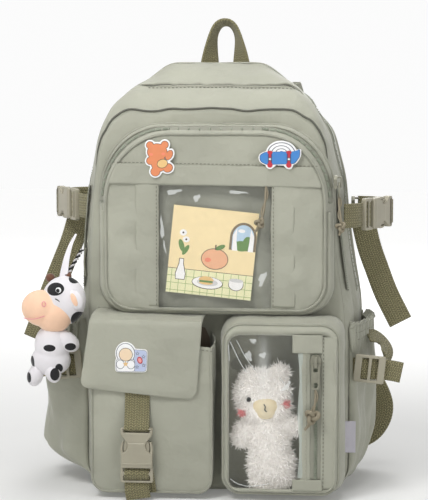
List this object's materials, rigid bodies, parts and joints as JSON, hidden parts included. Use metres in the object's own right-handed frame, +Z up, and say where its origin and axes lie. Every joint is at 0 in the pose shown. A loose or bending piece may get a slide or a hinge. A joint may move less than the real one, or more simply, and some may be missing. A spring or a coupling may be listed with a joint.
{
  "type": "school backpack",
  "caption": "Soft school backpack with a windowed front pocket, a buckled flap pocket, a windowed lower pocket, side pockets, padded shoulder straps and plush charms.",
  "frame": {"origin": "middle of the base panel's underside, on the floor the bag stands on", "axes": "+Z up, -Y towards the pockets at the front, +Y towards the shoulder straps, +X to the right as seen from the front"},
  "size_m": [0.405, 0.2213, 0.4746],
  "materials": {
    "shell_fabric": "fine woven polyester with a soft sheen",
    "lining_fabric": "thin plain weave",
    "zip_tape": "nylon coil zip tape",
    "webbing": "ribbed woven webbing",
    "buckle_plastic": "satin moulded acetal",
    "zip_metal": "satin enamel on zinc",
    "pull_cord": "braided cord",
    "vinyl": "clear flexible vinyl",
    "card": "printed card",
    "lamb_fleece": "curly fleece",
    "cow_plush": "short plush",
    "badge_plastic": "printed acrylic",
    "tag_fabric": "woven tape"
  },
  "bodies": {
    "root": {"back_panel": "shell_fabric", "gusset_rear": "shell_fabric", "gusset_front": "shell_fabric", "divider_panel": "shell_fabric", "second_gusset": "shell_fabric", "front_panel": "shell_fabric", "base_panel": "shell_fabric", "upper_pocket_gusset": "shell_fabric", "upper_pocket_front": "shell_fabric", "upper_trim": "shell_fabric", "flap_pocket_body": "shell_fabric", "window_pocket_gusset": "shell_fabric", "window_pocket_front": "shell_fabric", "side_pocket_left": "shell_fabric", "side_pocket_right": "shell_fabric", "laptop_sleeve": "lining_fabric", "main_zip": "zip_tape", "second_zip": "zip_tape", "upper_zip": "zip_tape", "window_zip": "zip_tape", "flap_strap_lower": "webbing", "side_webbing": "webbing", "pocket_straps": "webbing", "strap_webbing": "webbing", "side_sockets": "buckle_plastic", "side_locks": "buckle_plastic", "window_upper": "vinyl", "window_lower": "vinyl", "card_insert": "card", "toy_head": "lamb_fleece", "toy_body": "lamb_fleece", "badge_bear": "badge_plastic", "badge_board": "badge_plastic", "side_tag": "tag_fabric"},
    "handle": {"grab_handle": "webbing"},
    "flap": {"flap": "shell_fabric", "flap_strap": "webbing", "flap_buckle_plug": "buckle_plastic", "badge_cloud": "badge_plastic"},
    "flap_socket": {"flap_buckle_socket": "buckle_plastic"},
    "upper_slider": {"upper_zip_slider": "zip_metal"},
    "upper_pull": {"upper_zip_ring": "zip_metal", "upper_pull_cord": "pull_cord"},
    "window_slider": {"window_zip_slider": "zip_metal"},
    "window_pull": {"window_zip_tab": "buckle_plastic", "window_pull_cord": "pull_cord"},
    "header_pull": {"header_pull_cord": "pull_cord"},
    "second_slider": {"second_zip_slider": "zip_metal"},
    "charm": {"charm_chain": "zip_metal", "cow_head": "cow_plush", "cow_body": "cow_plush"},
    "main_slider": {"main_zip_slider": "zip_metal"},
    "side_plug_left": {"side_plug_left": "buckle_plastic", "side_tail_left": "webbing"},
    "side_plug_right": {"side_plug_right": "buckle_plastic", "side_tail_right": "webbing"},
    "strap_left": {"shoulder_strap_left": "shell_fabric", "ladder_lock_left": "buckle_plastic"},
    "strap_right": {"shoulder_strap_right": "shell_fabric", "ladder_lock_right": "buckle_plastic"}
  },
  "joints": [
    {"name": "handle_fold", "type": "hinge", "parent": "root", "child": "handle", "pos_m": [0, 0.0575, 0.4306], "axis": [-1, 0, 0], "range_deg": [0, 80]},
    {"name": "flap_hinge", "type": "hinge", "parent": "root", "child": "flap", "pos_m": [-0.072, -0.1044, 0.179], "axis": [-1, 0, 0], "range_deg": [0, 150]},
    {"name": "socket_release", "type": "slide", "parent": "root", "child": "flap_socket", "axis": [0, 0, -1], "range_m": [0, 0.0146], "deforming": ["flap_buckle_plug"]},
    {"name": "upper_zip_slide", "type": "slide", "parent": "root", "child": "upper_slider", "axis": [0, 0, -1], "range_m": [0, 0.018]},
    {"name": "upper_pull_swing", "type": "hinge", "parent": "upper_slider", "child": "upper_pull", "pos_m": [0.1217, -0.074, 0.3128], "axis": [0, -1, 0], "range_deg": [0, 60]},
    {"name": "window_zip_slide", "type": "slide", "parent": "root", "child": "window_slider", "axis": [0, 0, -1], "range_m": [0, 0.07]},
    {"name": "window_pull_swing", "type": "hinge", "parent": "window_slider", "child": "window_pull", "pos_m": [0.101, -0.1094, 0.1385], "axis": [-1, 0, 0], "range_deg": [0, 90]},
    {"name": "header_pull_swing", "type": "hinge", "parent": "root", "child": "header_pull", "pos_m": [0.0505, -0.0855, 0.3108], "axis": [-1, 0, 0], "range_deg": [0, 80]},
    {"name": "second_zip_slide", "type": "slide", "parent": "root", "child": "second_slider", "axis": [-0.0877, 0, -0.9962], "range_m": [0, 0.03]},
    {"name": "charm_swing", "type": "hinge", "parent": "second_slider", "child": "charm", "pos_m": [-0.1372, -0.051, 0.244], "axis": [0, 1, 0], "range_deg": [0, 45]},
    {"name": "main_zip_slide", "type": "slide", "parent": "root", "child": "main_slider", "axis": [0.0896, 0, -0.996], "range_m": [0, 0.07]},
    {"name": "side_release_left", "type": "slide", "parent": "root", "child": "side_plug_left", "axis": [-0.4695, 0.8829, 0], "range_m": [0, 0.0146]},
    {"name": "side_release_right", "type": "slide", "parent": "root", "child": "side_plug_right", "axis": [0.4695, 0.8829, 0], "range_m": [0, 0.0146]},
    {"name": "strap_swing_left", "type": "hinge", "parent": "root", "child": "strap_left", "pos_m": [-0.052, 0.0695, 0.4085], "axis": [1, 0, 0], "range_deg": [0, 60]},
    {"name": "strap_swing_right", "type": "hinge", "parent": "root", "child": "strap_right", "pos_m": [0.052, 0.0695, 0.4085], "axis": [1, 0, 0], "range_deg": [0, 60]}
  ]
}
